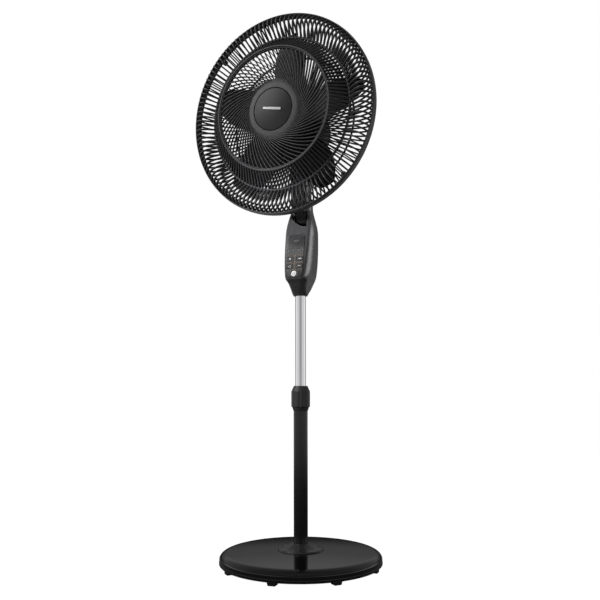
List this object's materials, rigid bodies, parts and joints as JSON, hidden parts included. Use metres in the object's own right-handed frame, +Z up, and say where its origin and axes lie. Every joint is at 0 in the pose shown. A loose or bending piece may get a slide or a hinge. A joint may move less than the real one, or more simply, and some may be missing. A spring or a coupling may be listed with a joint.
{
  "type": "pedestal fan",
  "caption": "Free-standing pedestal fan: round weighted base, telescopic pole, control housing, tilting and swinging motor head with bladed fan inside a spiral-ribbed cage.",
  "frame": {"origin": "centre of the round base, on the floor", "axes": "+Z up along the pole; the fan blows towards -Y at rest; +X is to the right for a viewer in front looking along +Y"},
  "size_m": [0.4424, 0.384, 1.2502],
  "materials": {
    "base_gloss": "deep gloss black moulding",
    "boss_satin": "semi-gloss black",
    "cast_weight": "rough grey casting",
    "base_plate": "matte black",
    "foot_rubber": "matte black rubber",
    "zinc_steel": "zinc plated",
    "black_steel": "black oxide",
    "pole_paint": "satin black powder coat",
    "inner_plastic": "plain grey moulding",
    "collar_plastic": "fine-textured black",
    "chrome_tube": "bright chrome plate",
    "housing_plastic": "satin charcoal",
    "panel_film": "smooth dark film",
    "lamp_window": "smoked translucent windows",
    "board": "green solder mask",
    "power_key": "satin white",
    "key_plastic": "soft black keys with pale icons",
    "neck_plastic": "satin black",
    "nylon": "natural nylon",
    "motor_cast": "die cast",
    "lamination": "stacked steel sheet",
    "copper": "enamelled copper wire",
    "bronze": "sintered bronze",
    "motor_plastic": "textured black",
    "grille_plastic": "satin charcoal ribs",
    "cap_plastic": "satin charcoal disc",
    "badge": "pale plain bar",
    "shaft_steel": "ground steel",
    "blade_plastic": "black translucent-looking polypropylene"
  },
  "bodies": {
    "base": {"base_cover": "base_gloss", "base_weight": "cast_weight", "base_plate": "base_plate", "base_feet": "foot_rubber", "base_boss": "boss_satin", "pole_flange": "zinc_steel", "flange_screws": "zinc_steel", "outer_pole": "pole_paint", "pole_bush": "inner_plastic", "grip_collet": "inner_plastic"},
    "collar": {"height_collar": "collar_plastic"},
    "mast": {"inner_pole": "chrome_tube", "pole_stop": "inner_plastic", "pole_socket": "inner_plastic", "housing_front": "housing_plastic", "housing_rear": "housing_plastic", "housing_screws": "black_steel", "control_panel": "panel_film", "panel_lamps": "lamp_window", "circuit_board": "board", "cord_gland": "foot_rubber", "tilt_bracket": "zinc_steel", "tilt_bolt": "zinc_steel", "tilt_nut": "zinc_steel"},
    "power_key": {"power_button": "power_key"},
    "speed_key": {"speed_button": "key_plastic"},
    "mode_key": {"mode_button": "key_plastic"},
    "timer_key": {"timer_button": "key_plastic"},
    "swing_key": {"swing_button": "key_plastic"},
    "neck": {"neck": "neck_plastic", "swing_bush": "nylon", "swing_sector": "nylon", "sector_screws": "zinc_steel"},
    "head": {"swing_bracket": "zinc_steel", "swing_pin": "zinc_steel", "swing_motor": "zinc_steel", "motor_front_plate": "motor_cast", "motor_rear_plate": "motor_cast", "motor_bolts": "zinc_steel", "stator": "lamination", "windings": "copper", "front_bearing": "bronze", "rear_bearing": "bronze", "motor_cover": "motor_plastic", "cover_screws": "black_steel", "rear_grille": "grille_plastic", "grille_nut": "grille_plastic", "rim_screws": "black_steel", "front_grille": "grille_plastic", "grille_centre": "grille_plastic", "centre_cap": "cap_plastic", "cap_badge": "badge"},
    "pinion": {"swing_pinion": "nylon"},
    "fan": {"rotor": "lamination", "shaft": "shaft_steel", "blade_hub": "blade_plastic", "fan_blades": "blade_plastic", "blade_nut": "blade_plastic"}
  },
  "joints": [
    {"name": "collar_turn", "type": "hinge", "parent": "base", "child": "collar", "pos_m": [0, 0, 0.396], "axis": [0, 0, 1], "range_deg": [0, 90]},
    {"name": "height_slide", "type": "slide", "parent": "base", "child": "mast", "axis": [0, 0, 1], "range_m": [-0.18, 0.04]},
    {"name": "head_tilt", "type": "hinge", "parent": "mast", "child": "neck", "pos_m": [0, 0.009, 0.82], "axis": [1, 0, 0], "range_deg": [-18, 8]},
    {"name": "head_swing", "type": "hinge", "parent": "neck", "child": "head", "pos_m": [0, 0.006, 0.957], "axis": [0, 0, 1], "range_deg": [-40, 40]},
    {"name": "pinion_spin", "type": "hinge", "parent": "head", "child": "pinion", "pos_m": [0, 0.04, 0.957], "axis": [0, 0, 1], "range_deg": [-131, 131]},
    {"name": "fan_spin", "type": "hinge", "parent": "head", "child": "fan", "pos_m": [0, 0, 1.029], "axis": [0, 1, 0], "continuous": true},
    {"name": "power_press", "type": "slide", "parent": "mast", "child": "power_key", "axis": [0, 0.9845, -0.1754], "range_m": [0, 0.0012], "stiffness_N_per_m": 500, "springref_m": -0.0008},
    {"name": "speed_press", "type": "slide", "parent": "mast", "child": "speed_key", "axis": [0, 0.9845, -0.1754], "range_m": [0, 0.0012], "stiffness_N_per_m": 500, "springref_m": -0.0008},
    {"name": "mode_press", "type": "slide", "parent": "mast", "child": "mode_key", "axis": [0, 0.9845, -0.1754], "range_m": [0, 0.0012], "stiffness_N_per_m": 500, "springref_m": -0.0008},
    {"name": "timer_press", "type": "slide", "parent": "mast", "child": "timer_key", "axis": [0, 0.9845, -0.1754], "range_m": [0, 0.0012], "stiffness_N_per_m": 500, "springref_m": -0.0008},
    {"name": "swing_press", "type": "slide", "parent": "mast", "child": "swing_key", "axis": [0, 0.9845, -0.1754], "range_m": [0, 0.0012], "stiffness_N_per_m": 500, "springref_m": -0.0008}
  ],
  "couplings": [
    {"joint": "pinion_spin", "follows": "head_swing", "ratio": 3.25}
  ]
}
